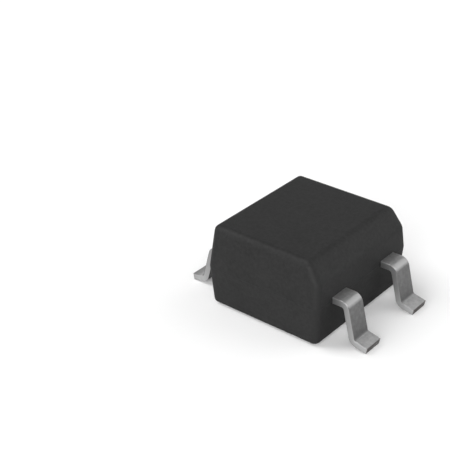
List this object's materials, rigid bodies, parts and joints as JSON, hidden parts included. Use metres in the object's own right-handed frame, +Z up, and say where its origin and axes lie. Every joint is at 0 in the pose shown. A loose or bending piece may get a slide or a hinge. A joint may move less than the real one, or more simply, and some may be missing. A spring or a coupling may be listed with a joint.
{
  "type": "bridge rectifier",
  "caption": "Surface-mount bridge rectifier: a black moulded body with a sloped edge on its direct-current side, sealed diode chips inside, and flat formed leads in a row on each side.",
  "frame": {"origin": "on the board, under the middle of the body: the lower edges of the four toes lie at Z = 0", "axes": "+Z up from the board; +X from the alternating-current leads towards the direct-current leads and the sloped edge; +Y along the row, from the positive lead to the negative one"},
  "size_m": [0.0066, 0.0048, 0.0027],
  "materials": {
    "moulding": "fine matte black moulding compound",
    "tinned_lead": "dull tin plating on copper alloy",
    "silicon": "lapped silicon, dark grey",
    "chip_glass": "fired milky glass",
    "solder": "dull grey solder"
  },
  "bodies": {
    "root": {"moulded_body": "moulding", "positive_lead": "tinned_lead", "negative_lead": "tinned_lead", "ac_lead_one": "tinned_lead", "ac_lead_two": "tinned_lead", "positive_one_chip": "silicon", "positive_one_glass_collar": "chip_glass", "positive_one_lower_solder": "solder", "positive_one_upper_solder": "solder", "positive_two_chip": "silicon", "positive_two_glass_collar": "chip_glass", "positive_two_lower_solder": "solder", "positive_two_upper_solder": "solder", "negative_one_chip": "silicon", "negative_one_glass_collar": "chip_glass", "negative_one_lower_solder": "solder", "negative_one_upper_solder": "solder", "negative_two_chip": "silicon", "negative_two_glass_collar": "chip_glass", "negative_two_lower_solder": "solder", "negative_two_upper_solder": "solder"}
  },
  "joints": []
}
